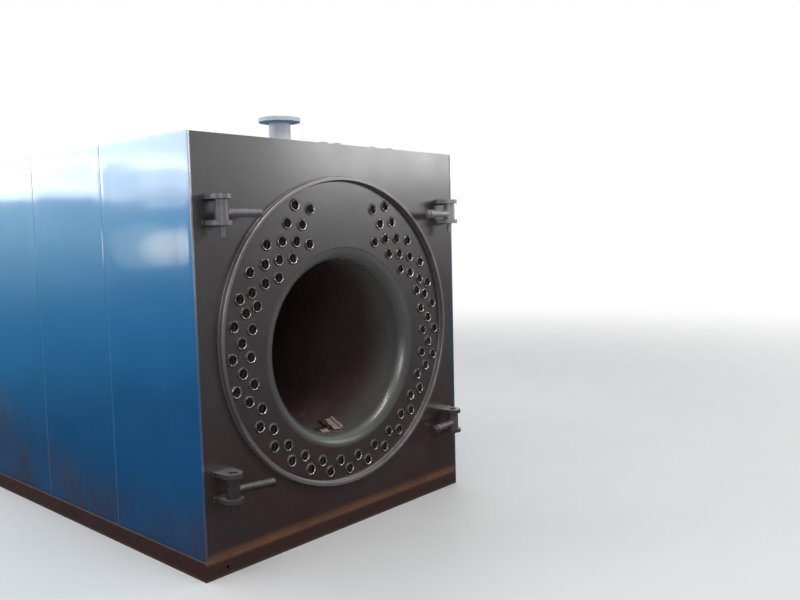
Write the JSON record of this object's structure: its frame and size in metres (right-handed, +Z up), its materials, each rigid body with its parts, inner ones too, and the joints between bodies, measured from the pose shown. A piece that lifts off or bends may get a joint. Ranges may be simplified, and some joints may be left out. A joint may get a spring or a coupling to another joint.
{
  "type": "industrial boiler",
  "caption": "Floor-standing hot-water fire-tube boiler in a rectangular sheet casing, burner door off, with open furnace mouth, fire tubes, swing bolts and flanged nozzles.",
  "frame": {"origin": "centre of the underside of the base frame, on the floor, under the middle cross beam", "axes": "+X to the right seen from the front, +Y from the furnace mouth to the flue outlet, +Z up"},
  "size_m": [1.775, 2.7959, 2.13],
  "materials": {
    "casing_blue": "glossy blue coated sheet",
    "charcoal_primer": "satin dark grey primer with light dust",
    "base_steel": "dark primer with rust at the edges",
    "furnace_steel": "red-brown oxidised steel plate",
    "tube_steel": "drawn tube with bright weld at the ends",
    "bolt_steel": "primed and worn steel",
    "pipe_steel": "dark primed pipe and flange"
  },
  "bodies": {
    "boiler": {"base_rail_left": "base_steel", "base_rail_right": "base_steel", "base_front_beam": "base_steel", "base_middle_beam": "base_steel", "base_rear_beam": "base_steel", "shell_saddles": "charcoal_primer", "front_plate": "charcoal_primer", "door_ring": "charcoal_primer", "front_tube_plate": "charcoal_primer", "furnace_tube": "furnace_steel", "furnace_end": "furnace_steel", "fire_tubes_lower": "tube_steel", "fire_tubes_upper": "tube_steel", "boiler_shell": "charcoal_primer", "rear_tube_plate": "charcoal_primer", "rear_panel": "casing_blue", "side_panel_left_front": "casing_blue", "side_panel_left_middle": "casing_blue", "side_panel_left_rear": "casing_blue", "side_panel_right_front": "casing_blue", "side_panel_right_middle": "casing_blue", "side_panel_right_rear": "casing_blue", "top_panel_front": "casing_blue", "top_panel_middle": "casing_blue", "top_panel_rear": "casing_blue", "smoke_box": "charcoal_primer", "cleaning_cover": "charcoal_primer", "flue_outlet": "charcoal_primer", "flow_nozzle": "pipe_steel", "return_nozzle": "pipe_steel", "safety_sockets": "pipe_steel", "lifting_lugs": "charcoal_primer", "drain_socket": "pipe_steel", "hinge_lugs_upper_left": "charcoal_primer", "hinge_lugs_lower_left": "charcoal_primer", "hinge_lugs_upper_right": "charcoal_primer", "hinge_lugs_lower_right": "charcoal_primer", "hinge_pin_upper_left": "bolt_steel", "hinge_pin_lower_left": "bolt_steel", "hinge_pin_upper_right": "bolt_steel", "hinge_pin_lower_right": "bolt_steel"},
    "bolt_upper_left": {"swing_bolt_upper_left": "bolt_steel"},
    "bolt_upper_right": {"swing_bolt_upper_right": "bolt_steel"},
    "bolt_lower_left": {"swing_bolt_lower_left": "bolt_steel"},
    "bolt_lower_right": {"swing_bolt_lower_right": "bolt_steel"}
  },
  "joints": [
    {"name": "upper_left_swing", "type": "hinge", "parent": "boiler", "child": "bolt_upper_left", "pos_m": [-0.778, -1.177, 1.605], "axis": [0, 0, -1], "range_deg": [-4, 174]},
    {"name": "upper_right_swing", "type": "hinge", "parent": "boiler", "child": "bolt_upper_right", "pos_m": [0.778, -1.177, 1.605], "axis": [0, 0, 1], "range_deg": [-2, 176]},
    {"name": "lower_left_swing", "type": "hinge", "parent": "boiler", "child": "bolt_lower_left", "pos_m": [-0.778, -1.177, 0.4], "axis": [0, 0, -1], "range_deg": [-13, 165]},
    {"name": "lower_right_swing", "type": "hinge", "parent": "boiler", "child": "bolt_lower_right", "pos_m": [0.778, -1.177, 0.4], "axis": [0, 0, 1], "range_deg": [-8, 170]}
  ]
}
